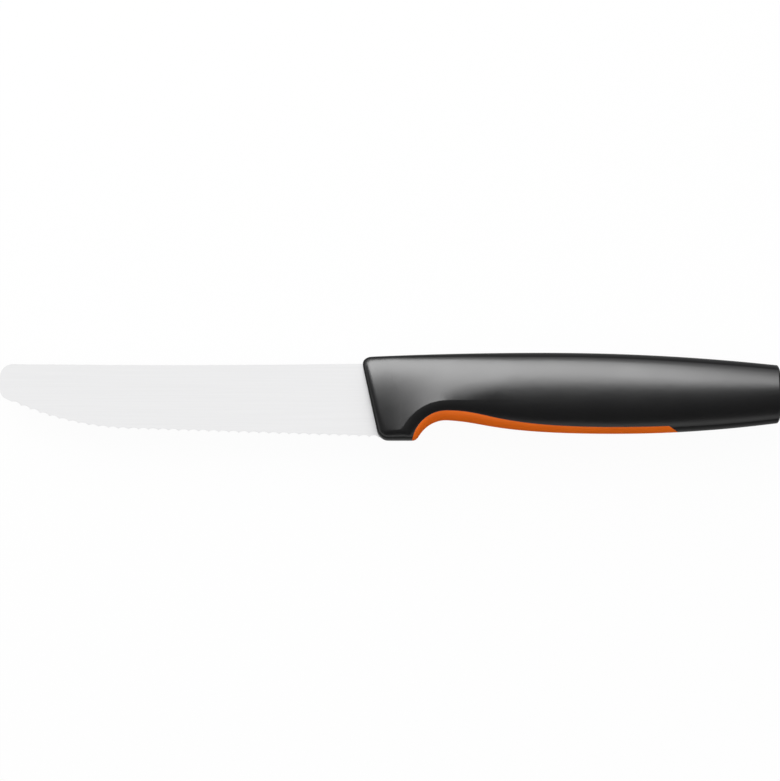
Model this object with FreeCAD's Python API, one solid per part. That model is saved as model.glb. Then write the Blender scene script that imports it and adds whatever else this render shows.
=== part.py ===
import FreeCAD, Part
import math
import os

from FreeCAD import Vector

# A tomato knife: a stamped serrated blade on a stick tang, a hard core moulded on the tang, a black
# grip body moulded over the core, and an orange finger strip let into the underside of the grip.
#
# Millimetres and degrees. The knife lies on its side. +X runs from the tip to the butt, +Y from the
# cutting edge to the spine, and +Z up from the table, square to the blade. The origin lies under the
# middle of the knife's box. Sizes below are taken along the knife from the tip, up from the underside
# of the guard, and across from the middle plane of the blade.

# Overall sizes
OVERALL_LENGTH = 233.0
HANDLE_HEIGHT = 26.3
HANDLE_THICKNESS = 19.0
CUT_OVERRUN = 6.0

# Blade outline
BLADE_LENGTH = 113.3
SPINE_HEIGHT = 23.05
SPINE_TIP_HEIGHT = 22.95
SPINE_DIP = 0.4
HEEL_HEIGHT = 1.05
EDGE_RISE_DEG = 1.85
BELLY_EDGE_REACH = 38.34
BELLY_EDGE_RADIUS = 90.0
NOSE_TOP_RADIUS = 3.9
NOSE_BOTTOM_RADIUS = 3.1

# Blade section and serration
BLADE_STOCK = 1.5
EDGE_THICKNESS = 0.75
GRIND_REVEAL = 0.3
ROOT_STEP = 0.04
SCALLOP_PITCH = 3.0
SCALLOP_DEPTH = 0.55
SCALLOP_BEVEL = 2.4
SCALLOP_TRIM = 0.06

# Tang
SHOULDER_DEPTH = 3.0
TANG_END_FROM_BUTT = 34.0
TANG_FRONT_HEIGHT = 7.5
TANG_END_HEIGHT = 6.0
TANG_END_CENTRE = 14.2
TANG_FILLET = 1.2
TANG_HOLE_COUNT = 2
TANG_HOLE_DIAMETER = 3.6
TANG_HOLE_FROM_END = 9.0
TANG_HOLE_SPACING = 44.0

# Core
CORE_FRONT_GAP = 9.0
CORE_WALL = 2.0
CORE_OVER_STRIP = 1.32
CORE_THICKNESS = 8.4
CORE_ROUND = 1.8
CORE_GROOVE_COUNT = 3
CORE_GROOVE_WIDTH = 2.4
CORE_GROOVE_DEPTH = 0.7

# Grip outline
FRONT_RAKE_DEG = 12.4
FRONT_ROUND = 2.6
GUARD_ROUND = 3.35
GUARD_CORNER_RADIUS = 1.9
NOTCH_FROM_FRONT = 20.1
NOTCH_HEIGHT = 6.18
NOTCH_RADIUS = 9.5
NOTCH_SLOPE_DEG = 57.0
CREASE_RISE = 6.0
CREASE_RADIUS = 14.5
BELLY_FROM_BUTT = 49.3
BELLY_HEIGHT = 2.06
EQUATOR_HEIGHT = 12.2
CREST_FROM_BUTT = 70.2
FRONT_TOP_HEIGHT = 25.0
BUTT_TOP_HEIGHT = 22.5
BUTT_BOTTOM_HEIGHT = 5.2
BUTT_DOME_LENGTH = 0.9
BUTT_DOME_WIDTH = 2.4

# Grip thickness, as half thicknesses at the front, the notch, the widest place and the butt
FRONT_HALF = 6.6
NOTCH_HALF = 8.6
BUTT_HALF = 9.0
WIDEST_FROM_BUTT = 28.0
CREASE_LEAN_DEG = 14.5
LEAN_BEFORE_NOTCH = 4.8

# Finger strip
STRIP_RISE = 2.95
STRIP_NOTCH_RADIUS = 10.4
STRIP_REAR_RISE = 2.1
STRIP_END_FROM_BUTT = 30.5
STRIP_END_LENGTH = 3.0
STRIP_CORNER_RADIUS = 1.0
RIB_COUNT = 3
RIB_SPACING = 14.0
RIB_LENGTH = 5.0
RIB_FOOT_WIDTH = 2.4
RIB_HEAD_WIDTH = 4.4
RIB_HEIGHT = 2.8
RIB_ROOT = 1.0

# Shares that draw the handle's curves. The curve shares say how far a curve's level ends reach, on the
# way from the notch to the belly. The section shares say how full a section's quarters are, at the
# guard and behind it.
BACK_CURVE_SHARES = (0.2, 0.79)
STRIP_CURVE_SHARES = (0.26, 0.74)
GUARD_SECTION_SHARES = {"side": 0.58, "top": 0.64, "under_side": 0.6, "under": 0.7}
GRIP_SECTION_SHARES = {"side": 0.55, "top": 0.56, "under_side": 0.55, "under": 0.56}
LEAN_END_SHARE = 0.4
BUTT_DOME_SHARES = ((0.0, 0.0), (0.9, 0.3), (1.0, 1.0))
SECTION_COUNTS = (4, 3, 2, 7, 9, 8)
FRONT_ROUND_STEPS = 7

FRONT_RAKE = math.tan(math.radians(FRONT_RAKE_DEG))
NOTCH_AT = BLADE_LENGTH + NOTCH_FROM_FRONT
BELLY_AT = OVERALL_LENGTH - BELLY_FROM_BUTT
CREST_AT = OVERALL_LENGTH - CREST_FROM_BUTT
WIDEST_AT = OVERALL_LENGTH - WIDEST_FROM_BUTT
STRIP_TOP = NOTCH_HEIGHT + STRIP_RISE
TANG_FRONT_CENTRE = STRIP_TOP + CORE_OVER_STRIP + CORE_WALL + TANG_FRONT_HEIGHT / 2


def spot(along, height, across=0.0):
    """A point of the knife in the part's frame."""
    return Vector(along - OVERALL_LENGTH / 2, height - HANDLE_HEIGHT / 2, across + HANDLE_THICKNESS / 2)


def front_at(height):
    """How far along the knife the raked front face of the handle lies at a height."""
    return BLADE_LENGTH - height * FRONT_RAKE


def line(start, end):
    return Part.LineSegment(start, end).toShape()


def bezier(*poles):
    curve = Part.BezierCurve()
    curve.setPoles(list(poles))
    return curve.toShape()


def arc(centre, radius, start_deg, end_deg):
    """An arc in the blade's plane, with angles counted from +X towards +Y. end_deg may be the smaller."""
    angles = [math.radians(deg) for deg in (start_deg, (start_deg + end_deg) / 2, end_deg)]
    points = [centre + Vector(math.cos(a), math.sin(a), 0.0) * radius for a in angles]
    return Part.Arc(*points).toShape()


def level_arc(start, end):
    """An arc that leaves start level, along the knife, and ends at end."""
    along, rise = end.x - start.x, end.y - start.y
    turn_deg = 2 * math.degrees(math.atan2(abs(rise), along))
    radius = along / math.sin(math.radians(turn_deg))
    side = math.copysign(1.0, rise)
    return arc(start + Vector(0.0, side * radius, 0.0), radius, -side * 90.0, -side * (90.0 - turn_deg))


def level_curve(start, end, shares):
    """A curve that leaves start and reaches end level, along the knife."""
    way = Vector(end.x - start.x, 0.0, 0.0)
    return bezier(start, start + way * shares[0], end - way * shares[1], end)


def slab(face_edges, low, high):
    """The area inside a closed outline in the blade's plane, thickened across it from low to high."""
    outline = Part.Wire(Part.__sortEdges__(face_edges))
    outline.translate(Vector(0.0, 0.0, low))
    return Part.Face(outline).extrude(Vector(0.0, 0.0, high - low))


def polygon(points):
    return [line(a, b) for a, b in zip(points, points[1:] + points[:1])]


def blend(stations, at):
    """A smooth value along the knife through (place, value) stations, held beyond their ends."""
    if at <= stations[0][0]:
        return stations[0][1]
    for i, ((x0, v0), (x1, v1)) in enumerate(zip(stations, stations[1:])):
        if at <= x1:
            before = stations[max(i - 1, 0)]
            after = stations[min(i + 2, len(stations) - 1)]
            slope0 = (v1 - before[1]) / (x1 - before[0])
            slope1 = (after[1] - v0) / (after[0] - x0)
            t, span = (at - x0) / (x1 - x0), x1 - x0
            rise = (3 - 2 * t) * t * t
            return v0 + (v1 - v0) * rise + span * t * (1 - t) * (slope0 * (1 - t) - slope1 * t)
    return stations[-1][1]


# The blade

def edge_line():
    """The cutting edge from the heel to the nose: straight, then a round belly."""
    rise = math.radians(EDGE_RISE_DEG)
    heel = spot(BLADE_LENGTH, HEEL_HEIGHT)
    straight_length = (BLADE_LENGTH - BELLY_EDGE_REACH) / math.cos(rise)
    turn = heel + Vector(-math.cos(rise), math.sin(rise), 0.0) * straight_length
    centre = turn + Vector(math.sin(rise), math.cos(rise), 0.0) * BELLY_EDGE_RADIUS
    nose_deg = 180.0 + math.degrees(math.acos((centre.x - spot(0.0, 0.0).x) / BELLY_EDGE_RADIUS))
    return line(heel, turn), arc(centre, BELLY_EDGE_RADIUS, 270.0 - EDGE_RISE_DEG, nose_deg)


def tang_heights(along):
    """Lower and upper height of the tang at a place along the knife."""
    share = (along - front_at(TANG_FRONT_CENTRE)) / (tang_end() - front_at(TANG_FRONT_CENTRE))
    centre = TANG_FRONT_CENTRE + (TANG_END_CENTRE - TANG_FRONT_CENTRE) * share
    half = (TANG_FRONT_HEIGHT + (TANG_END_HEIGHT - TANG_FRONT_HEIGHT) * share) / 2
    return centre - half, centre + half


def tang_end():
    return OVERALL_LENGTH - TANG_END_FROM_BUTT


def blade_plate():
    """The stamping: blade, shoulders and tang in one flat outline."""
    straight, belly = edge_line()
    nose = belly.Vertexes[-1].Point
    spine_tip = spot(0.0, SPINE_TIP_HEIGHT)
    spine_end = spot(front_at(SPINE_HEIGHT) + SHOULDER_DEPTH, SPINE_HEIGHT)
    spine_middle = (spine_tip + spine_end) * 0.5 - Vector(0.0, SPINE_DIP, 0.0)
    heel = straight.Vertexes[0].Point
    heel_end = spot(front_at(HEEL_HEIGHT) + SHOULDER_DEPTH, HEEL_HEIGHT)
    low_front, high_front = tang_heights(front_at(TANG_FRONT_CENTRE) + SHOULDER_DEPTH)
    low_end, high_end = tang_heights(tang_end())
    corners = [
        spine_end,
        spot(front_at(high_front) + SHOULDER_DEPTH, high_front),
        spot(tang_end(), high_end),
        spot(tang_end(), low_end),
        spot(front_at(low_front) + SHOULDER_DEPTH, low_front),
        heel_end,
        heel,
    ]
    outline = [line(a, b) for a, b in zip(corners, corners[1:])]
    spine = Part.Arc(spine_tip, spine_middle, spine_end).toShape()
    outline += [straight, belly, line(nose, spine_tip), spine]
    plate = slab(outline, -BLADE_STOCK / 2, BLADE_STOCK / 2)
    plate = round_corner(plate, spine_tip, NOSE_TOP_RADIUS)
    plate = round_corner(plate, nose, NOSE_BOTTOM_RADIUS)
    for corner in (corners[1], corners[2], corners[3], corners[4]):
        plate = round_corner(plate, corner, TANG_FILLET)
    return plate


def round_corner(plate, corner, radius):
    """Rounds the upright edge that stands at a corner of a flat outline."""
    near = Part.Precision.approximation()
    upright = []
    for edge in plate.Edges:
        if all(math.hypot(v.X - corner.x, v.Y - corner.y) < near for v in edge.Vertexes):
            upright.append(edge)
    return plate.makeFillet(radius, upright)


def grind_plane():
    """The heel, the way from the edge's chord to the spine, and how fast the ground face rises on it."""
    heel = spot(BLADE_LENGTH, HEEL_HEIGHT)
    nose = edge_line()[1].Vertexes[-1].Point
    chord = (nose - heel).normalize()
    inward = Vector(chord.y, -chord.x, 0.0)
    reach = (spot(front_at(SPINE_HEIGHT), SPINE_HEIGHT) - heel).dot(inward)
    return heel, inward, (BLADE_STOCK - EDGE_THICKNESS) / 2 / reach


def ground_half(point):
    """Half thickness of the ground blade over a point of its outline."""
    heel, inward, slope = grind_plane()
    return EDGE_THICKNESS / 2 + slope * (point - heel).dot(inward)


def grind_cutter(side, step, gap):
    """What the taper grinding takes off one face, up to a gap before the handle's front face.
    step is the thickness left standing over the taper."""
    heel, inward, slope = grind_plane()
    normal = Vector(-slope * inward.x, -slope * inward.y, 1.0).normalize()
    base = heel + Vector(0.0, 0.0, EDGE_THICKNESS / 2 + step)
    size = 2 * OVERALL_LENGTH
    cutter = Part.makeBox(size, size, size, Vector(-size / 2, -size / 2, 0.0))
    cutter.Placement = FreeCAD.Placement(base, FreeCAD.Rotation(Vector(0.0, 0.0, 1.0), normal))
    cutter = cutter.common(in_front_of_handle(gap))
    return cutter if side > 0 else cutter.mirror(spot(0.0, 0.0), Vector(0.0, 0.0, 1.0))


def in_front_of_handle(gap):
    """The space around the blade, up to a gap before the raked front face of the handle."""
    low, high = -CUT_OVERRUN, HANDLE_HEIGHT + CUT_OVERRUN
    corners = [
        spot(-CUT_OVERRUN, low),
        spot(front_at(low) - gap, low),
        spot(front_at(high) - gap, high),
        spot(-CUT_OVERRUN, high),
    ]
    return slab(polygon(corners), -CUT_OVERRUN, CUT_OVERRUN)


def scallop_cutter(place, tangent):
    """One scallop's grinding cylinder, leaning up the front face from the cutting edge."""
    inward = Vector(tangent.y, -tangent.x, 0.0)
    half = ground_half(place)
    lean = math.atan2(2 * half, SCALLOP_BEVEL)
    radius = SCALLOP_PITCH ** 2 / (8 * SCALLOP_DEPTH * math.sin(lean))
    axis = inward * math.cos(lean) + Vector(0.0, 0.0, math.sin(lean))
    outward = Vector(0.0, 0.0, math.cos(lean)) - inward * math.sin(lean)
    valley = place + inward * (SCALLOP_DEPTH + SCALLOP_TRIM) - Vector(0.0, 0.0, half)
    start = valley + outward * radius - axis * radius
    return Part.makeCylinder(radius, radius + 2 * SCALLOP_BEVEL, start, axis)


def scallop_cutters():
    """The scallops, pitch by pitch, from the heel to the nose."""
    straight, belly = edge_line()
    cutters = []
    for i in range(int((straight.Length + belly.Length - NOSE_BOTTOM_RADIUS) / SCALLOP_PITCH)):
        length = (i + 0.5) * SCALLOP_PITCH
        edge = straight if length < straight.Length else belly
        at = edge.getParameterByLength(length if edge is straight else length - straight.Length)
        cutters.append(scallop_cutter(edge.valueAt(at), edge.tangentAt(at)))
    return cutters


def make_blade():
    blade = blade_plate()
    for side in (1, -1):
        blade = blade.cut(grind_cutter(side, 0.0, GRIND_REVEAL))
        blade = blade.cut(grind_cutter(side, ROOT_STEP, -SHOULDER_DEPTH))
    for cutter in scallop_cutters():
        blade = blade.cut(cutter)
    for i in range(TANG_HOLE_COUNT):
        along = tang_end() - TANG_HOLE_FROM_END - i * TANG_HOLE_SPACING
        centre = spot(along, sum(tang_heights(along)) / 2, -BLADE_STOCK / 2)
        blade = blade.cut(Part.makeCylinder(TANG_HOLE_DIAMETER / 2, BLADE_STOCK, centre))
    return blade


# The grip's outer form

def notch_line(foot, notch_height, radius, belly_height, butt_height):
    """A line along the underside, front to butt: guard, corner, slope, finger notch, swelling and belly.
    foot is the line's height at the guard, and radius that of its notch."""
    slope = math.radians(NOTCH_SLOPE_DEG)
    centre = spot(NOTCH_AT, notch_height - radius)
    slope_end = centre + Vector(-math.sin(slope), math.cos(slope), 0.0) * radius
    foot_level = spot(0.0, foot).y
    slope_way = Vector(math.cos(slope), math.sin(slope), 0.0)
    vertex = slope_end - slope_way * ((slope_end.y - foot_level) / math.sin(slope))
    reach = GUARD_CORNER_RADIUS * math.tan(slope / 2)
    flat_end = vertex - Vector(reach, 0.0, 0.0)
    corner_centre = flat_end + Vector(0.0, GUARD_CORNER_RADIUS, 0.0)
    top, belly = spot(NOTCH_AT, notch_height), spot(BELLY_AT, belly_height)
    return [
        line(spot(front_at(foot), foot), flat_end),
        arc(corner_centre, GUARD_CORNER_RADIUS, -90.0, -90.0 + NOTCH_SLOPE_DEG),
        line(vertex + slope_way * reach, slope_end),
        arc(centre, radius, 90.0 + NOTCH_SLOPE_DEG, 90.0),
        level_curve(top, belly, BACK_CURVE_SHARES),
        level_arc(belly, spot(OVERALL_LENGTH - BUTT_DOME_LENGTH, butt_height)),
    ]


def top_height(along):
    """Height of the handle's back, an arc to the front and another to the butt from its crest."""
    if along < CREST_AT:
        reach, drop = CREST_AT - front_at(FRONT_TOP_HEIGHT), HANDLE_HEIGHT - FRONT_TOP_HEIGHT
    else:
        reach, drop = CREST_FROM_BUTT, HANDLE_HEIGHT - BUTT_TOP_HEIGHT
    return HANDLE_HEIGHT - arc_rise(reach, drop, along - CREST_AT)


def arc_rise(reach, rise, along):
    """How far an arc that starts level, and rises by rise over reach, has risen at a place along it."""
    radius = (reach ** 2 + rise ** 2) / (2 * rise)
    return radius - math.sqrt(radius ** 2 - along ** 2)


def at_length(edge, length):
    return edge.valueAt(edge.getParameterByLength(length))


def section_rows(under, crease, inset=0.0):
    """Poles of one section of the grip: over the back from crease to crease, then under the belly.
    inset draws the whole section in, as the rounding of the front does."""
    along = crease.x + OVERALL_LENGTH / 2
    guard_share = blend([(front_at(0.0), 1.0), (NOTCH_AT, 0.0)], along)
    shares = {}
    for name, grip_share in GRIP_SECTION_SHARES.items():
        shares[name] = grip_share + guard_share * (GUARD_SECTION_SHARES[name] - grip_share)
    half = blend(
        [
            (front_at(GUARD_ROUND), FRONT_HALF),
            (NOTCH_AT, NOTCH_HALF),
            (WIDEST_AT, HANDLE_THICKNESS / 2),
            (OVERALL_LENGTH, BUTT_HALF),
        ],
        along,
    )
    lean_deg = blend(
        [
            (front_at(GUARD_ROUND), 0.0),
            (NOTCH_AT - LEAN_BEFORE_NOTCH, CREASE_LEAN_DEG),
            (NOTCH_AT, CREASE_LEAN_DEG),
            (NOTCH_AT + LEAN_END_SHARE * (BELLY_AT - NOTCH_AT), 0.0),
        ],
        along,
    )
    before_notch = (along - front_at(GUARD_ROUND)) / (NOTCH_AT - front_at(GUARD_ROUND))
    front_top = front_at(FRONT_TOP_HEIGHT)
    top_along = front_top + (NOTCH_AT - front_top) * before_notch if before_notch < 1 else along
    top = spot(top_along, top_height(top_along))
    under = under + (crease - under).normalize() * inset
    top = top + (crease - top).normalize() * inset
    rise, drop = top - crease, crease - under
    across = Vector(0.0, 0.0, half - inset)
    lean = Vector(0.0, 0.0, math.tan(math.radians(lean_deg)) * rise.Length * shares["side"])
    side = crease + across
    over = [side, side + rise * shares["side"] - lean, top + across * shares["top"]]
    below = [side, side - drop * shares["under_side"], under + across * shares["under"]]
    return [rows + [other_side(p) for p in reversed(rows)] for rows in (over, below)]


def other_side(point):
    """The point mirrored through the blade's middle plane."""
    return Vector(point.x, point.y, 2 * spot(0.0, 0.0).z - point.z)


def skin(rows):
    """A smooth face over rows of poles, one row a section, from front to butt."""
    degree = min(3, len(rows) - 1)
    mults = [degree + 1] + [1] * (len(rows) - degree - 1) + [degree + 1]
    knots = [float(i) for i in range(len(mults))]
    surface = Part.BSplineSurface()
    across_mults, across_knots = [4, 2, 4], [0.0, 1.0, 2.0]
    surface.buildFromPolesMultsKnots(
        rows, mults, across_mults, knots, across_knots, False, False, degree, 3
    )
    return surface.toShape()


def front_rows(under_edge, crease_edge):
    """Sections of the rounded front, from the flat front face back to where the rounding ends."""
    rows = []
    for i in range(FRONT_ROUND_STEPS):
        turn = math.radians(90.0) * i / FRONT_ROUND_STEPS
        depth, inset = FRONT_ROUND * (1 - math.cos(turn)), FRONT_ROUND * (1 - math.sin(turn))
        rows.append(section_rows(at_length(under_edge, depth), at_length(crease_edge, depth), inset))
    return rows


def grip_form():
    """The whole outer form of the handle, skinned front to butt, with its rounded front and domed butt."""
    butt_middle = (BUTT_TOP_HEIGHT + BUTT_BOTTOM_HEIGHT) / 2
    crease_height = NOTCH_HEIGHT + CREASE_RISE
    under_line = notch_line(0.0, NOTCH_HEIGHT, NOTCH_RADIUS, BELLY_HEIGHT, BUTT_BOTTOM_HEIGHT)
    crease_line = notch_line(GUARD_ROUND, crease_height, CREASE_RADIUS, EQUATOR_HEIGHT, butt_middle)
    rows = front_rows(under_line[0], crease_line[0])
    skipped = FRONT_ROUND
    for *edges, count in zip(under_line, crease_line, SECTION_COUNTS):
        for i in range(count):
            places = [at_length(e, skipped + (e.Length - skipped) * i / count) for e in edges]
            rows.append(section_rows(*places))
        skipped = 0.0
    under_end = under_line[-1].Vertexes[-1].Point
    crease_end = crease_line[-1].Vertexes[-1].Point
    dome = []
    for length_share, width_share in BUTT_DOME_SHARES:
        shift = Vector(BUTT_DOME_LENGTH * length_share, 0.0, 0.0)
        dome.append(section_rows(under_end + shift, crease_end + shift, BUTT_DOME_WIDTH * width_share))
    rows.append(dome[0])
    faces = [skin([row[part] for row in run]) for run in (rows, dome) for part in (0, 1)]
    shell = Part.makeShell(faces)
    shell.sewShape()
    ends = [Part.Face(Part.Wire(loop)) for loop in Part.sortEdges(open_edges(shell))]
    shell = Part.makeShell(faces + ends)
    shell.sewShape()
    return Part.makeSolid(shell)


def open_edges(shell):
    """Edges that only one face of a shell uses."""
    return [e for e in shell.Edges if len(shell.ancestorsOfType(e, Part.Face)) == 1]


# The finger strip

def under_height(along):
    """Height of the underside behind the belly's lowest place."""
    return BELLY_HEIGHT + arc_rise(BELLY_FROM_BUTT, BUTT_BOTTOM_HEIGHT - BELLY_HEIGHT, along - BELLY_AT)


def strip_space():
    """The band along the underside that the strip fills, right through the grip's thickness."""
    centre = spot(NOTCH_AT, STRIP_TOP - STRIP_NOTCH_RADIUS)
    rounding = arc(centre, STRIP_NOTCH_RADIUS, 180.0, 90.0)
    belly = spot(BELLY_AT, BELLY_HEIGHT + STRIP_REAR_RISE)
    back = level_curve(rounding.Vertexes[-1].Point, belly, STRIP_CURVE_SHARES)
    end_at = OVERALL_LENGTH - STRIP_END_FROM_BUTT
    corner = spot(end_at - STRIP_END_LENGTH, under_height(end_at - STRIP_END_LENGTH) + STRIP_REAR_RISE)
    end = spot(end_at, under_height(end_at))
    end += (end - corner) * (CUT_OVERRUN / STRIP_REAR_RISE)
    front = rounding.Vertexes[0].Point
    floor = spot(0.0, -CUT_OVERRUN).y
    outline = [
        rounding,
        back,
        level_arc(belly, corner),
        line(corner, end),
        line(end, Vector(end.x, floor, end.z)),
        line(Vector(end.x, floor, end.z), Vector(front.x, floor, front.z)),
        line(Vector(front.x, floor, front.z), front),
    ]
    space = slab(outline, -HANDLE_THICKNESS, HANDLE_THICKNESS)
    return round_corner(space, corner, STRIP_CORNER_RADIUS)


def strip_rib(along):
    """One dovetail rib that holds the strip in the grip body."""
    foot = BELLY_HEIGHT + STRIP_REAR_RISE - RIB_ROOT
    head = foot + RIB_ROOT + RIB_HEIGHT
    corners = [
        spot(along - RIB_FOOT_WIDTH / 2, foot),
        spot(along + RIB_FOOT_WIDTH / 2, foot),
        spot(along + RIB_HEAD_WIDTH / 2, head),
        spot(along - RIB_HEAD_WIDTH / 2, head),
    ]
    return slab(polygon(corners), -RIB_LENGTH / 2, RIB_LENGTH / 2)


def make_strip(form):
    strip = form.common(strip_space())
    for i in range(RIB_COUNT):
        strip = strip.fuse(strip_rib(BELLY_AT + (i - (RIB_COUNT - 1) / 2) * RIB_SPACING))
    return strip.removeSplitter()


# The core and the grip body

def core_bar(inset):
    """The core's plain bar around the tang, drawn in by inset all round."""
    start = front_at(TANG_FRONT_CENTRE) + CORE_FRONT_GAP
    end = tang_end() + CORE_WALL
    wall = CORE_WALL - inset
    corners = []
    for along in (start, end):
        low, high = tang_heights(along)
        corners.append((spot(along, low - wall), spot(along, high + wall)))
    outline = polygon([corners[0][0], corners[1][0], corners[1][1], corners[0][1]])
    half = CORE_THICKNESS / 2 - inset
    bar = slab(outline, -half, half)
    long_edges = [e for e in bar.Edges if e.Length > (end - start) / 2]
    return bar.makeFillet(CORE_ROUND - inset, long_edges)


def make_core():
    """The core without the room for the tang: a rounded bar with ring grooves that key the grip body."""
    bar = core_bar(0.0)
    ring = bar.cut(core_bar(CORE_GROOVE_DEPTH))
    start, end = bar.BoundBox.XMin, bar.BoundBox.XMax
    core = bar
    for i in range(CORE_GROOVE_COUNT):
        middle = start + (end - start) * (i + 1) / (CORE_GROOVE_COUNT + 1)
        corner = Vector(middle - CORE_GROOVE_WIDTH / 2, bar.BoundBox.YMin, bar.BoundBox.ZMin)
        band = Part.makeBox(CORE_GROOVE_WIDTH, bar.BoundBox.YLength, bar.BoundBox.ZLength, corner)
        core = core.cut(ring.common(band))
    return core


def write(name, shape):
    shape.exportStep("parts/" + name + ".step")


os.makedirs("parts", exist_ok=True)
blade = make_blade()
form = grip_form()
strip = make_strip(form)
core = make_core()
write("blade", blade)
write("handle_core", core.cut(blade))
write("grip_body", form.cut(core).cut(blade).cut(strip))
write("finger_strip", strip)
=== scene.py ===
import math

import bmesh
import bpy
import numpy as np
from bpy.props import FloatProperty, FloatVectorProperty, PointerProperty
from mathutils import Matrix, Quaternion, Vector


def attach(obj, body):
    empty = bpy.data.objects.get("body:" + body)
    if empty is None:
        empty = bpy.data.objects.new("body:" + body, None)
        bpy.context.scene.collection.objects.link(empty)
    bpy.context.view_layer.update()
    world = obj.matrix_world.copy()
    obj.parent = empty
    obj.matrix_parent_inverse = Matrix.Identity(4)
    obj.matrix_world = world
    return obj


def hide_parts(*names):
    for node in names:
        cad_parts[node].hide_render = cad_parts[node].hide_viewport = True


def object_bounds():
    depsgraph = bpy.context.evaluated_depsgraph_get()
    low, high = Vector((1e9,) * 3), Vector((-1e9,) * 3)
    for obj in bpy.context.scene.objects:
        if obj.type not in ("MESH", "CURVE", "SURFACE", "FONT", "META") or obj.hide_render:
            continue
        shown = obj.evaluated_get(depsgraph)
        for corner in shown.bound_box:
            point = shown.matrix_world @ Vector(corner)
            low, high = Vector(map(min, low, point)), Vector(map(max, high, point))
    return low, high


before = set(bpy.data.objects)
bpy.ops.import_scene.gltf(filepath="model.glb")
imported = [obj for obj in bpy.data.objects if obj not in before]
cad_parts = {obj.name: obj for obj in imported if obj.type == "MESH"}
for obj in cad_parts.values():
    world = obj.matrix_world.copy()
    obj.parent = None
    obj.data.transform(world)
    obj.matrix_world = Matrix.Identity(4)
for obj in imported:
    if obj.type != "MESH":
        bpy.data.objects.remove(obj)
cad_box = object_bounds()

bl_info = {
    "name": "Tomato knife",
    "version": (1, 0, 0),
    "blender": (4, 5, 0),
    "location": "View3D > Sidebar > Knife",
    "description": "Finishes the pieces of a tomato knife and sets up a pale studio around it",
    "category": "Object",
}

# The picture's frame in pixels: the knife fills its width, and its middle lies a little below the centre.
PICTURE_WIDTH_PX = 780
PICTURE_HEIGHT_PX = 781
KNIFE_MIDDLE_ROW_PX = 396.8

KNIFE_LENGTH = cad_box[1].x - cad_box[0].x
KNIFE_MIDDLE = (cad_box[0] + cad_box[1]) / 2
HALF_THICKNESS = (cad_box[1].z - cad_box[0].z) / 2

# The piece that has a light of its own
BLADE_PIECE = "ground_blade"

# How a slope is found: over a step in metres, a little inside a face's corner
SLOPE_STEP = 1e-6
INSIDE_SHARE = 0.02

# Corners at the same place, to these decimals, shade as one below the first angle and apart above the second
PLACE_DECIMALS = 6
SHADED_AS_ONE_DEG = 4.0
SHADED_APART_DEG = 7.0

# How far a finish's roughness strays from its middle
STEEL_UNEVEN_SHARE = 0.015
BLACK_UNEVEN_SHARE = 0.08
ORANGE_UNEVEN_SHARE = 0.1
CORE_UNEVEN_SHARE = 0.1

# Larger marks of a finish, counted in its finer ones
LINES_PER_STREAK = 6
LINE_LENGTHS_PER_STREAK = 3
BLACK_GRAINS_PER_CLOUD = 40
ORANGE_GRAINS_PER_CLOUD = 60

# Edge wear on the steel and the grip, and the painted shade along the orange strip's edges, reach this many
# times as far as an edge's rounding
WEAR_AND_EDGE_SHADE_RADII = 2
EDGE_SAMPLES = 8

# The gloss that is left where a surface turns away, and how far it has turned where the gloss fades
RIM_GLOSS_SHARE = 0.03
RIM_START_SHARE = 0.27
RIM_END_SHARE = 0.46


# What a user may change

class HandleForm(bpy.types.PropertyGroup):
    crease_level: FloatProperty(
        name="Crease level",
        description="Place of the crease behind the notch, from the knife's middle to its back",
        unit="LENGTH", subtype="DISTANCE", default=-0.00102,
    )
    fill: FloatProperty(
        name="Crease fill",
        description="How much steeper the sides stand where the crease fades out behind the notch",
        unit="ROTATION", subtype="ANGLE", default=math.radians(8.5),
    )
    fill_height: FloatProperty(
        name="Fill height", description="How far over the crease the sides are filled out",
        unit="LENGTH", subtype="DISTANCE", min=0.001, default=0.0125,
    )
    fill_start: FloatProperty(
        name="Fill start", description="Place along the knife, from its middle, where the filling starts",
        unit="LENGTH", subtype="DISTANCE", default=0.009,
    )
    fill_end: FloatProperty(
        name="Fill end", description="Place along the knife, from its middle, where the filling ends",
        unit="LENGTH", subtype="DISTANCE", default=0.04,
    )
    butt_draw: FloatProperty(
        name="Butt draw", description="Share by which the butt is thinner than the handle that leads to it",
        subtype="FACTOR", min=0.0, max=0.5, default=0.1,
    )
    draw_length: FloatProperty(
        name="Draw length", description="Length from the butt over which the handle is drawn in",
        unit="LENGTH", subtype="DISTANCE", min=0.001, default=0.0405,
    )


class BladeFinish(bpy.types.PropertyGroup):
    colour: FloatVectorProperty(
        name="Steel", description="Colour that the ground steel reflects",
        subtype="COLOR", size=3, min=0.0, max=1.0, default=(0.83, 0.83, 0.834),
    )
    dull_colour: FloatVectorProperty(
        name="Dull steel", description="Colour in the deeper grinding lines",
        subtype="COLOR", size=3, min=0.0, max=1.0, default=(0.81, 0.81, 0.814),
    )
    roughness: FloatProperty(
        name="Roughness", description="How far the satin finish blurs",
        subtype="FACTOR", min=0.05, max=1.0, default=0.48,
    )
    brushing: FloatProperty(
        name="Brushing", description="How much wider the blur is across the grinding lines than along them",
        subtype="FACTOR", min=0.0, max=1.0, default=0.5,
    )
    line_spacing: FloatProperty(
        name="Line spacing", description="Distance between grinding lines",
        unit="LENGTH", subtype="DISTANCE", min=0.00005, default=0.00035,
    )
    line_length: FloatProperty(
        name="Line length", description="How far a grinding line runs along the blade",
        unit="LENGTH", subtype="DISTANCE", min=0.001, default=0.03,
    )
    line_depth: FloatProperty(
        name="Line depth", description="Depth of the grinding lines",
        unit="LENGTH", subtype="DISTANCE", min=0.0, default=0.00000025,
    )
    edge_rounding: FloatProperty(
        name="Edge rounding", description="Radius that eases the stamped edges",
        unit="LENGTH", subtype="DISTANCE", min=0.0, default=0.00003,
    )


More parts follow.
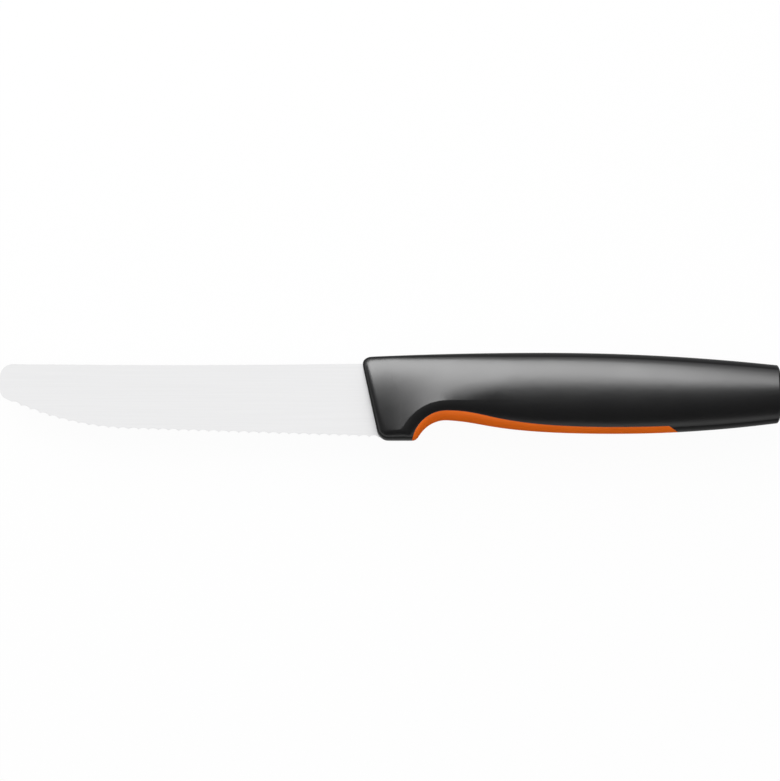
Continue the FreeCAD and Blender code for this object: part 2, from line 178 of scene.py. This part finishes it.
class GripFinish(bpy.types.PropertyGroup):
    colour: FloatVectorProperty(
        name="Black", description="Colour of the moulded grip",
        subtype="COLOR", size=3, min=0.0, max=1.0, default=(0.0045, 0.0045, 0.0047),
    )
    worn_colour: FloatVectorProperty(
        name="Worn black", description="Colour of rubbed edges and of the grain's peaks",
        subtype="COLOR", size=3, min=0.0, max=1.0, default=(0.008, 0.008, 0.0084),
    )
    roughness: FloatProperty(
        name="Roughness", description="How far the eroded texture blurs",
        subtype="FACTOR", min=0.05, max=1.0, default=0.34,
    )
    shine: FloatProperty(
        name="Shine", description="Strength of the plastic's reflection, where half is usual",
        subtype="FACTOR", min=0.0, max=1.0, default=0.735,
    )
    grain_size: FloatProperty(
        name="Grain size", description="Size of the eroded texture's grains",
        unit="LENGTH", subtype="DISTANCE", min=0.00005, default=0.0003,
    )
    grain_depth: FloatProperty(
        name="Grain depth", description="Depth of the eroded texture",
        unit="LENGTH", subtype="DISTANCE", min=0.0, default=0.000008,
    )
    edge_rounding: FloatProperty(
        name="Edge rounding", description="Radius that eases the moulded edges",
        unit="LENGTH", subtype="DISTANCE", min=0.0, default=0.00025,
    )


class StripFinish(bpy.types.PropertyGroup):
    colour: FloatVectorProperty(
        name="Orange", description="Colour of the soft strip",
        subtype="COLOR", size=3, min=0.0, max=1.0, default=(0.95, 0.175, 0.014),
    )
    # Darker orange for the strip's clouds, which are its own uneven tone, and for its edges and seam, where
    # it is painted shade
    cloud_and_edge_shade_colour: FloatVectorProperty(
        name="Deep orange", description="Colour of the strip's darker clouds and its edges",
        subtype="COLOR", size=3, min=0.0, max=1.0, default=(0.82, 0.135, 0.012),
    )
    roughness: FloatProperty(
        name="Roughness", description="How far the strip's dull sheen blurs",
        subtype="FACTOR", min=0.05, max=1.0, default=0.75,
    )
    shine: FloatProperty(
        name="Shine", description="Strength of the strip's reflection, where half is usual",
        subtype="FACTOR", min=0.0, max=1.0, default=0.35,
    )
    grain_size: FloatProperty(
        name="Grain size", description="Size of the strip's fine texture",
        unit="LENGTH", subtype="DISTANCE", min=0.00005, default=0.00025,
    )
    grain_depth: FloatProperty(
        name="Grain depth", description="Depth of the strip's fine texture",
        unit="LENGTH", subtype="DISTANCE", min=0.0, default=0.000004,
    )
    edge_rounding: FloatProperty(
        name="Edge rounding", description="Radius that eases the strip's edges",
        unit="LENGTH", subtype="DISTANCE", min=0.0, default=0.0002,
    )


class CoreFinish(bpy.types.PropertyGroup):
    colour: FloatVectorProperty(
        name="Core", description="Colour of the hidden core",
        subtype="COLOR", size=3, min=0.0, max=1.0, default=(0.08, 0.08, 0.085),
    )
    flow_colour: FloatVectorProperty(
        name="Flow lines", description="Colour of the moulding's flow lines",
        subtype="COLOR", size=3, min=0.0, max=1.0, default=(0.06, 0.06, 0.065),
    )
    roughness: FloatProperty(
        name="Roughness", description="How far the plain plastic blurs",
        subtype="FACTOR", min=0.05, max=1.0, default=0.55,
    )
    flow_length: FloatProperty(
        name="Flow length", description="How far a flow line runs along the core",
        unit="LENGTH", subtype="DISTANCE", min=0.001, default=0.02,
    )
    flow_spacing: FloatProperty(
        name="Flow spacing", description="Distance between flow lines",
        unit="LENGTH", subtype="DISTANCE", min=0.00005, default=0.002,
    )


class StudioSettings(bpy.types.PropertyGroup):
    floor_colour: FloatVectorProperty(
        name="Floor", description="Colour of the pale floor",
        subtype="COLOR", size=3, min=0.0, max=1.0, default=(0.5, 0.5, 0.5),
    )
    floor_radius: FloatProperty(
        name="Floor radius", description="How far the floor reaches",
        unit="LENGTH", subtype="DISTANCE", min=0.5, default=12.0,
    )
    floor_glow: FloatProperty(
        name="Floor white",
        description="Share of plain white in the floor as it is seen, the rest keeps the shadow",
        subtype="FACTOR", min=0.0, max=1.0, default=0.96,
    )
    key_level: FloatProperty(
        name="Key light",
        description="Brightness of the large softbox over the knife's back, for all but the blade",
        min=0.0, default=7.7,
    )
    key_shift: FloatProperty(
        name="Key shift", description="How far the softbox hangs towards the tip",
        unit="LENGTH", subtype="DISTANCE", default=0.27,
    )
    key_fade: FloatProperty(
        name="Key fade",
        description="Share of the softbox, from its upper edge, over which it grows to full brightness",
        subtype="FACTOR", min=0.001, max=1.0, default=0.3,
    )
    key_distance: FloatProperty(
        name="Key distance", description="Distance of the softbox from the knife",
        unit="LENGTH", subtype="DISTANCE", min=0.2, default=1.0,
    )
    key_tilt: FloatProperty(
        name="Key tilt", description="Angle of the softbox from straight overhead",
        unit="ROTATION", subtype="ANGLE", default=math.radians(52.2),
    )
    key_roll: FloatProperty(
        name="Key roll", description="Angle by which the softbox's upper edge rises towards the tip",
        unit="ROTATION", subtype="ANGLE", default=math.radians(13.0),
    )
    key_spread: FloatProperty(
        name="Key spread", description="Angle that the softbox covers on the way from overhead to the floor",
        unit="ROTATION", subtype="ANGLE", default=math.radians(66.0),
    )
    key_width: FloatProperty(
        name="Key width", description="Angle that the softbox covers along the knife",
        unit="ROTATION", subtype="ANGLE", default=math.radians(61.0),
    )
    sky_level: FloatProperty(
        name="Room", description="Brightness of the room all round",
        min=0.0, default=0.05,
    )
    fill_level: FloatProperty(
        name="Fill light", description="Brightness of the soft light overhead, which leaves no highlight",
        min=0.0, default=1.9,
    )
    fill_tilt: FloatProperty(
        name="Fill tilt", description="Angle of the soft light from straight overhead, towards the edge",
        unit="ROTATION", subtype="ANGLE", default=math.radians(5.0),
    )
    fill_shift: FloatProperty(
        name="Fill shift", description="How far the soft light hangs towards the butt",
        unit="LENGTH", subtype="DISTANCE", default=0.15,
    )
    blade_level: FloatProperty(
        name="Blade light", description="Brightness of the wide even softbox that lights the blade alone",
        min=0.0, default=1.05,
    )
    blade_distance: FloatProperty(
        name="Blade light distance", description="Distance of the blade's softbox from the knife",
        unit="LENGTH", subtype="DISTANCE", min=0.2, default=2.0,
    )
    blade_spread: FloatProperty(
        name="Blade light spread", description="Angle that the blade's softbox covers",
        unit="ROTATION", subtype="ANGLE", default=math.radians(140.0),
    )
    lens: FloatProperty(
        name="Lens", description="Focal length of the camera",
        unit="CAMERA", min=20.0, default=180.0,
    )


# Forms

def read_piece(node):
    """Places, faces and the directions at each face's corners, of a piece of the frame."""
    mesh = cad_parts[node].data
    places = np.array([vertex.co for vertex in mesh.vertices])
    faces = np.array([face.vertices for face in mesh.polygons])
    normals = np.array([corner.vector for corner in mesh.corner_normals])
    return places, faces, normals.reshape(*faces.shape, 3)


def stand_in(node, name, surface, material):
    """A piece with its final form and finish, which stands for a piece of the frame."""
    places, faces, normals = surface
    mesh = bpy.data.meshes.new(name)
    mesh.from_pydata(places.tolist(), [], faces.tolist())
    mesh.shade_smooth()
    mesh.normals_split_custom_set(normals.reshape(-1, 3).tolist())
    mesh.materials.append(material)
    piece = bpy.data.objects.new(name, mesh)
    bpy.context.collection.objects.link(piece)
    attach(piece, "root")
    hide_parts(node)


def turned_over(surface):
    """A surface mirrored through the blade's middle plane, so that its flat face looks up."""
    places, faces, normals = surface
    places[:, 2] = 2 * KNIFE_MIDDLE.z - places[:, 2]
    return places, faces[:, ::-1], normals[:, ::-1] * (1.0, 1.0, -1.0)


def eased(value, start, end):
    """A rise from 0 at start to 1 at end, level at both."""
    share = np.clip((value - start) / (end - start), 0.0, 1.0)
    return share * share * (3.0 - 2.0 * share)


def thickening(along, height, form):
    """How many times thicker the handle is than in the frame, at places of its side view."""
    drawn = np.clip(1.0 - (cad_box[1].x - along) / form.draw_length, 0.0, 1.0)
    middle = (form.fill_start + form.fill_end) / 2
    wave = eased(along, form.fill_start, middle) * eased(along, form.fill_end, middle)
    rise = np.clip((height - form.crease_level) / form.fill_height, 0.0, 1.0)
    fill = math.tan(form.fill) * form.fill_height * wave * rise * (1.0 - rise) ** 2
    return 1.0 - form.butt_draw * drawn ** 2 + fill / HALF_THICKNESS


def filled_out(surface, form):
    """A surface of the handle with its crease fading out behind the notch, and the butt drawn in."""
    places, faces, normals = surface
    corners = places[faces]
    # Just inside each face, because the sides stand steeper over the crease than under it
    inside = corners + INSIDE_SHARE * (corners.mean(axis=1, keepdims=True) - corners)
    along, height, level = (inside[..., i] for i in range(3))
    scale = thickening(along, height, form)
    lift = (level - KNIFE_MIDDLE.z) / scale
    turn_along = lift * (thickening(along + SLOPE_STEP, height, form) - scale) / SLOPE_STEP
    turn_up = lift * (thickening(along, height + SLOPE_STEP, form) - scale) / SLOPE_STEP
    turned = normals.copy()
    turned[..., 0] -= normals[..., 2] * turn_along
    turned[..., 1] -= normals[..., 2] * turn_up
    turned[..., 2] /= scale
    turned /= np.linalg.norm(turned, axis=2, keepdims=True)
    offset = places[:, 2] - KNIFE_MIDDLE.z
    places[:, 2] = KNIFE_MIDDLE.z + offset * thickening(places[:, 0], places[:, 1], form)
    return places, faces, turned


def joined(surface):
    """A surface whose faces shade as one where they meet at a small angle, as where the crease fades."""
    places, faces, normals = surface
    corners = np.round(places[faces].reshape(-1, 3), PLACE_DECIMALS)
    _, spot = np.unique(corners, axis=0, return_inverse=True)
    flat = normals.reshape(-1, 3)
    mean = np.zeros((spot.max() + 1, 3))
    np.add.at(mean, spot.ravel(), flat)
    mean = (mean / np.linalg.norm(mean, axis=1, keepdims=True))[spot.ravel()]
    apart = np.degrees(np.arccos(np.clip((mean * flat).sum(axis=1), -1.0, 1.0)))
    kept = eased(apart, SHADED_AS_ONE_DEG, SHADED_APART_DEG)[:, None]
    blended = mean + kept * (flat - mean)
    blended /= np.linalg.norm(blended, axis=1, keepdims=True)
    return places, faces, blended.reshape(normals.shape)


def handle_surface(node, form):
    """The final form of a piece of the handle."""
    return joined(filled_out(read_piece(node), form))


# Nodes that the finishes share

def add_node(tree, kind, inputs=None, **settings):
    """A node with its settings, and with values or links for its inputs by name."""
    made = tree.nodes.new(kind)
    for name, value in settings.items():
        setattr(made, name, value)
    for name, value in (inputs or {}).items():
        if isinstance(value, bpy.types.NodeSocket):
            tree.links.new(value, made.inputs[name])
        else:
            made.inputs[name].default_value = value
    return made


def new_finish(name):
    """A new material's node tree and its surface shader."""
    material = bpy.data.materials.new(name)
    material.use_nodes = True
    surface = material.node_tree.nodes["Principled BSDF"]
    return material, material.node_tree, surface


def place_on_piece(tree):
    """Places in metres, in the knife's own frame."""
    return add_node(tree, "ShaderNodeTexCoord").outputs["Object"]


def noise(tree, place, size, detail=2.0, roughness=0.5):
    """Even clouds of a size in metres, from 0 to 1."""
    inputs = {"Vector": place, "Scale": 1.0 / size, "Detail": detail, "Roughness": roughness}
    return add_node(tree, "ShaderNodeTexNoise", inputs).outputs[0]


def lines_along(tree, place, length, spacing, detail=3.0):
    """Streaks along the knife, of a length and a spacing in metres, from 0 to 1."""
    squeezed = add_node(tree, "ShaderNodeMapping", {"Vector": place, "Scale": (spacing / length, 1.0, 1.0)})
    return noise(tree, squeezed.outputs["Vector"], spacing, detail)


def spread(tree, value, low, high, from_low=0.3, from_high=0.7):
    """A value of a texture, turned into numbers from low to high."""
    inputs = {"Value": value, "From Min": from_low, "From Max": from_high, "To Min": low, "To Max": high}
    return add_node(tree, "ShaderNodeMapRange", inputs).outputs["Result"]


def uneven(tree, value, middle, share):
    """A value of a texture, turned into numbers that lie within a share of the middle one."""
    return spread(tree, value, (1.0 - share) * middle, (1.0 + share) * middle)


def shade(tree, value, low_colour, high_colour, from_low=0.3, from_high=0.7):
    """A value of a texture, turned into colours from low to high."""
    ramp = add_node(tree, "ShaderNodeValToRGB", {"Fac": value})
    low, high = ramp.color_ramp.elements
    low.position, high.position = from_low, from_high
    low.color, high.color = (*low_colour, 1.0), (*high_colour, 1.0)
    return ramp.outputs["Color"]


def eased_edges(tree, radius):
    """The surface's direction with its edges rounded off, and how near an edge is, from 0 to 1."""
    rounded, wider = (
        add_node(tree, "ShaderNodeBevel", {"Radius": reach}, samples=EDGE_SAMPLES).outputs["Normal"]
        for reach in (radius, WEAR_AND_EDGE_SHADE_RADII * radius)
    )
    flat = add_node(tree, "ShaderNodeNewGeometry").outputs["Normal"]
    match = add_node(tree, "ShaderNodeVectorMath", operation="DOT_PRODUCT")
    tree.links.new(wider, match.inputs[0])
    tree.links.new(flat, match.inputs[1])
    return rounded, spread(tree, match.outputs["Value"], 1.0, 0.0, from_low=0.85, from_high=0.99)


def dull_rim(tree, shine):
    """Gloss of a finely eroded plastic, which is lost where the surface turns away."""
    turned = add_node(tree, "ShaderNodeLayerWeight", {"Blend": 0.5}).outputs["Facing"]
    return spread(tree, turned, shine, RIM_GLOSS_SHARE * shine, RIM_START_SHARE, RIM_END_SHARE)


def add_values(tree, one, other, share):
    """One value plus a share of the other, kept from 0 to 1."""
    made = add_node(tree, "ShaderNodeMath", operation="MULTIPLY_ADD", use_clamp=True)
    tree.links.new(other, made.inputs[0])
    made.inputs[1].default_value = share
    tree.links.new(one, made.inputs[2])
    return made.outputs["Value"]


def bumps(tree, height, depth, normal):
    """Fine relief of a depth in metres over a surface."""
    inputs = {"Height": height, "Distance": depth, "Strength": 1.0, "Normal": normal}
    return add_node(tree, "ShaderNodeBump", inputs).outputs["Normal"]


def set_surface(tree, surface, **sockets):
    """Sets or links the surface shader's sockets, named with underscores."""
    for name, value in sockets.items():
        socket = surface.inputs[name.replace("_", " ")]
        if isinstance(value, bpy.types.NodeSocket):
            tree.links.new(value, socket)
        else:
            socket.default_value = value


# Finishes

def ground_steel(look):
    """Satin steel, ground along the blade."""
    material, tree, surface = new_finish("ground_steel")
    place = place_on_piece(tree)
    lines = lines_along(tree, place, look.line_length, look.line_spacing)
    streaks = lines_along(
        tree, place, LINE_LENGTHS_PER_STREAK * look.line_length, LINES_PER_STREAK * look.line_spacing
    )
    rounded, edge = eased_edges(tree, look.edge_rounding)
    worn = add_values(tree, lines, edge, share=0.3)
    blur = add_values(tree, streaks, lines, share=0.2)
    across_lines = add_node(tree, "ShaderNodeTangent", direction_type="RADIAL", axis="X")
    set_surface(
        tree, surface,
        Base_Color=shade(tree, worn, look.dull_colour, look.colour),
        Metallic=1.0,
        Roughness=uneven(tree, blur, look.roughness, STEEL_UNEVEN_SHARE),
        Anisotropic=look.brushing,
        Tangent=across_lines.outputs["Tangent"],
        Normal=bumps(tree, lines, look.line_depth, rounded),
    )
    return material


def eroded_black(look):
    """Black plastic from a finely eroded mould."""
    material, tree, surface = new_finish("eroded_black")
    place = place_on_piece(tree)
    grain = noise(tree, place, look.grain_size, detail=3.0, roughness=0.6)
    clouds = noise(tree, place, BLACK_GRAINS_PER_CLOUD * look.grain_size)
    rounded, edge = eased_edges(tree, look.edge_rounding)
    rubbed = add_values(tree, grain, edge, share=0.4)
    blur = add_values(tree, clouds, grain, share=0.3)
    set_surface(
        tree, surface,
        Base_Color=shade(tree, rubbed, look.colour, look.worn_colour, from_low=0.35, from_high=0.9),
        Roughness=uneven(tree, blur, look.roughness, BLACK_UNEVEN_SHARE),
        Specular_IOR_Level=dull_rim(tree, look.shine),
        Normal=bumps(tree, grain, look.grain_depth, rounded),
    )
    return material


def soft_orange(look):
    """Orange soft plastic with a dull sheen, and painted shade darkening its edges."""
    material, tree, surface = new_finish("soft_orange")
    place = place_on_piece(tree)
    grain = noise(tree, place, look.grain_size, detail=3.0)
    clouds = noise(tree, place, ORANGE_GRAINS_PER_CLOUD * look.grain_size)
    rounded, edge = eased_edges(tree, look.edge_rounding)
    # The darker clouds are the strip's own uneven tone; the darker edges and seam are painted shade
    cloud_and_edge_shade = add_values(tree, clouds, edge, share=0.5)
    blur = add_values(tree, clouds, grain, share=0.4)
    set_surface(
        tree, surface,
        Base_Color=shade(tree, cloud_and_edge_shade, look.colour, look.cloud_and_edge_shade_colour, from_low=0.35, from_high=0.95),
        Roughness=uneven(tree, blur, look.roughness, ORANGE_UNEVEN_SHARE),
        Specular_IOR_Level=dull_rim(tree, look.shine),
        Normal=bumps(tree, grain, look.grain_depth, rounded),
    )
    return material


def plain_core(look):
    """Hard grey plastic with the flow lines of its moulding."""
    material, tree, surface = new_finish("plain_core")
    place = place_on_piece(tree)
    flow = lines_along(tree, place, look.flow_length, look.flow_spacing)
    set_surface(
        tree, surface,
        Base_Color=shade(tree, flow, look.flow_colour, look.colour),
        Roughness=uneven(tree, flow, look.roughness, CORE_UNEVEN_SHARE),
    )
    return material


# The studio

def white_share(tree, look):
    """Share of plain white that the camera, a mirror and glass see. The light on the knife gets none."""
    path = add_node(tree, "ShaderNodeLightPath").outputs
    mirrored = add_values(tree, path["Is Glossy Ray"], path["Is Transmission Ray"], share=1.0)
    seen = add_values(tree, mirrored, path["Is Camera Ray"], share=1.0)
    return spread(tree, seen, 0.0, look.floor_glow, from_low=0.0, from_high=1.0)


def pale_floor_finish(look):
    """A pale floor that is seen as white and still takes a faint shadow."""
    material = bpy.data.materials.new("pale_floor")
    material.use_nodes = True
    tree = material.node_tree
    tree.nodes.remove(tree.nodes["Principled BSDF"])
    plain = add_node(tree, "ShaderNodeBsdfDiffuse", {"Color": (*look.floor_colour, 1.0)})
    white = add_node(tree, "ShaderNodeEmission")
    mixed = add_node(tree, "ShaderNodeMixShader", {"Fac": white_share(tree, look)})
    tree.links.new(plain.outputs["BSDF"], mixed.inputs[1])
    tree.links.new(white.outputs["Emission"], mixed.inputs[2])
    tree.links.new(mixed.outputs["Shader"], tree.nodes["Material Output"].inputs["Surface"])
    return material


def lay_floor(look):
    """The round floor that the knife lies on."""
    mesh = bpy.data.meshes.new("pale_floor")
    disc = bmesh.new()
    bmesh.ops.create_circle(disc, cap_ends=True, radius=look.floor_radius, segments=96)
    disc.to_mesh(mesh)
    disc.free()
    mesh.materials.append(pale_floor_finish(look))
    floor = bpy.data.objects.new("pale_floor", mesh)
    floor.location.z = cad_box[0].z
    bpy.context.collection.objects.link(floor)


def hang_lamp(name, look, tilt, roll, shift, level):
    """A lamp of the softbox's size, tilted from overhead towards the back. Gives the lamp and its light."""
    away = Vector((0.0, math.sin(tilt), math.cos(tilt)))
    light = bpy.data.lights.new(name, "AREA")
    light.shape = "RECTANGLE"
    light.size = 2 * look.key_distance * math.tan(look.key_width / 2)
    light.size_y = 2 * look.key_distance * math.tan(look.key_spread / 2)
    light.energy = level * math.pi * light.size * light.size_y
    lamp = bpy.data.objects.new(name, light)
    lamp.location = KNIFE_MIDDLE + away * look.key_distance + Vector((shift, 0.0, 0.0))
    lamp.rotation_mode = "QUATERNION"
    lamp.rotation_quaternion = away.to_track_quat("Z", "Y") @ Quaternion((0.0, 0.0, 1.0), roll)
    bpy.context.collection.objects.link(lamp)
    return lamp, light


def light_piece(lamp, piece, state):
    """Lets a lamp light one piece alone, with INCLUDE, or all but that piece, with EXCLUDE."""
    lit = bpy.data.collections.new(lamp.name + "_lights")
    lit.objects.link(piece)
    lit.collection_objects[0].light_linking.link_state = state
    lamp.light_linking.receiver_collection = lit


def hang_softbox(look):
    """The softbox over the knife's back, dim at its upper edge. It lights all but the blade."""
    lamp, light = hang_lamp("softbox", look, look.key_tilt, look.key_roll, -look.key_shift, look.key_level)
    light.use_nodes = True
    tree = light.node_tree
    place = add_node(tree, "ShaderNodeNewGeometry").outputs["Parametric"]
    height = add_node(tree, "ShaderNodeSeparateXYZ", {"Vector": place}).outputs["Y"]
    level = spread(tree, height, 1.0, 0.0, from_low=1.0 - look.key_fade, from_high=1.0)
    tree.links.new(level, tree.nodes["Emission"].inputs["Strength"])
    light_piece(lamp, bpy.data.objects[BLADE_PIECE], "EXCLUDE")


def hang_blade_light(look):
    """The wide even softbox straight overhead, which the blade mirrors in every view."""
    light = bpy.data.lights.new("blade_softbox", "AREA")
    light.size = 2 * look.blade_distance * math.tan(look.blade_spread / 2)
    light.energy = look.blade_level * math.pi * light.size ** 2
    lamp = bpy.data.objects.new("blade_softbox", light)
    lamp.location = KNIFE_MIDDLE + Vector((0.0, 0.0, look.blade_distance))
    bpy.context.collection.objects.link(lamp)
    light_piece(lamp, bpy.data.objects[BLADE_PIECE], "INCLUDE")


def hang_fill(look):
    """The soft light overhead, which leaves no highlight."""
    lamp, _ = hang_lamp("fill", look, -look.fill_tilt, 0.0, look.fill_shift, look.fill_level)
    lamp.visible_glossy = False


def light_room(look):
    """The room's even light."""
    world = bpy.data.worlds.new("soft_room")
    world.use_nodes = True
    background = world.node_tree.nodes["Background"]
    background.inputs["Color"].default_value = (1.0, 1.0, 1.0, 1.0)
    background.inputs["Strength"].default_value = look.sky_level
    bpy.context.scene.world = world


def set_camera(look):
    """A long lens straight over the knife."""
    data = bpy.data.cameras.new("camera")
    data.lens = look.lens
    pixel = KNIFE_LENGTH / PICTURE_WIDTH_PX
    seen = pixel * max(PICTURE_WIDTH_PX, PICTURE_HEIGHT_PX)
    camera = bpy.data.objects.new("camera", data)
    below_centre = (KNIFE_MIDDLE_ROW_PX - PICTURE_HEIGHT_PX / 2) * pixel
    camera.location = KNIFE_MIDDLE + Vector((0.0, below_centre, seen * data.lens / data.sensor_width))
    data.clip_end = 100.0
    bpy.context.collection.objects.link(camera)
    bpy.context.scene.camera = camera
    bpy.context.scene.view_settings.view_transform = "Standard"


# Operators and panel

class KNIFE_OT_finish_blade(bpy.types.Operator):
    """Makes the blade with its flat face up, in ground satin steel"""
    bl_idname = "knife.finish_blade"
    bl_label = "Finish blade"

    def execute(self, context):
        surface = turned_over(read_piece("blade"))
        stand_in("blade", BLADE_PIECE, surface, ground_steel(context.scene.knife_blade))
        return {"FINISHED"}


class KNIFE_OT_finish_core(bpy.types.Operator):
    """Makes the hidden core in plain plastic"""
    bl_idname = "knife.finish_core"
    bl_label = "Finish core"

    def execute(self, context):
        surface = handle_surface("handle_core", context.scene.knife_form)
        stand_in("handle_core", "inner_core", surface, plain_core(context.scene.knife_core))
        return {"FINISHED"}


class KNIFE_OT_finish_grip(bpy.types.Operator):
    """Makes the grip with its final form, in eroded black plastic"""
    bl_idname = "knife.finish_grip"
    bl_label = "Finish grip"

    def execute(self, context):
        surface = handle_surface("grip_body", context.scene.knife_form)
        stand_in("grip_body", "moulded_grip", surface, eroded_black(context.scene.knife_grip))
        return {"FINISHED"}


class KNIFE_OT_finish_strip(bpy.types.Operator):
    """Makes the finger strip with its final form, in soft orange"""
    bl_idname = "knife.finish_strip"
    bl_label = "Finish finger strip"

    def execute(self, context):
        surface = handle_surface("finger_strip", context.scene.knife_form)
        stand_in("finger_strip", "soft_strip", surface, soft_orange(context.scene.knife_strip))
        return {"FINISHED"}


class KNIFE_OT_set_studio(bpy.types.Operator):
    """Lays the floor, hangs the lamps, lights the room and sets the camera"""
    bl_idname = "knife.set_studio"
    bl_label = "Set studio"

    def execute(self, context):
        look = context.scene.knife_studio
        lay_floor(look)
        hang_softbox(look)
        hang_blade_light(look)
        hang_fill(look)
        light_room(look)
        set_camera(look)
        return {"FINISHED"}


class KNIFE_PT_panel(bpy.types.Panel):
    bl_idname = "KNIFE_PT_panel"
    bl_label = "Tomato knife"
    bl_space_type = "VIEW_3D"
    bl_region_type = "UI"
    bl_category = "Knife"

    def draw(self, context):
        for group in SETTINGS:
            box = self.layout.box()
            settings = getattr(context.scene, group)
            for name in settings.__annotations__:
                box.prop(settings, name)
            if group in STEPS:
                box.operator(STEPS[group].bl_idname)


# What each part of the panel holds, by the name of its settings
SETTINGS = {
    "knife_form": HandleForm,
    "knife_blade": BladeFinish,
    "knife_core": CoreFinish,
    "knife_grip": GripFinish,
    "knife_strip": StripFinish,
    "knife_studio": StudioSettings,
}
STEPS = {
    "knife_blade": KNIFE_OT_finish_blade,
    "knife_core": KNIFE_OT_finish_core,
    "knife_grip": KNIFE_OT_finish_grip,
    "knife_strip": KNIFE_OT_finish_strip,
    "knife_studio": KNIFE_OT_set_studio,
}


def register():
    for group in SETTINGS.values():
        bpy.utils.register_class(group)
    for operator in STEPS.values():
        bpy.utils.register_class(operator)
    bpy.utils.register_class(KNIFE_PT_panel)
    for name, group in SETTINGS.items():
        setattr(bpy.types.Scene, name, PointerProperty(type=group))


def unregister():
    for name in SETTINGS:
        delattr(bpy.types.Scene, name)
    bpy.utils.unregister_class(KNIFE_PT_panel)
    for operator in STEPS.values():
        bpy.utils.unregister_class(operator)
    for group in SETTINGS.values():
        bpy.utils.unregister_class(group)


def main():
    register()
    bpy.ops.knife.finish_blade()
    bpy.ops.knife.finish_core()
    bpy.ops.knife.finish_grip()
    bpy.ops.knife.finish_strip()
    bpy.ops.knife.set_studio()


if __name__ == "__main__":
    main()
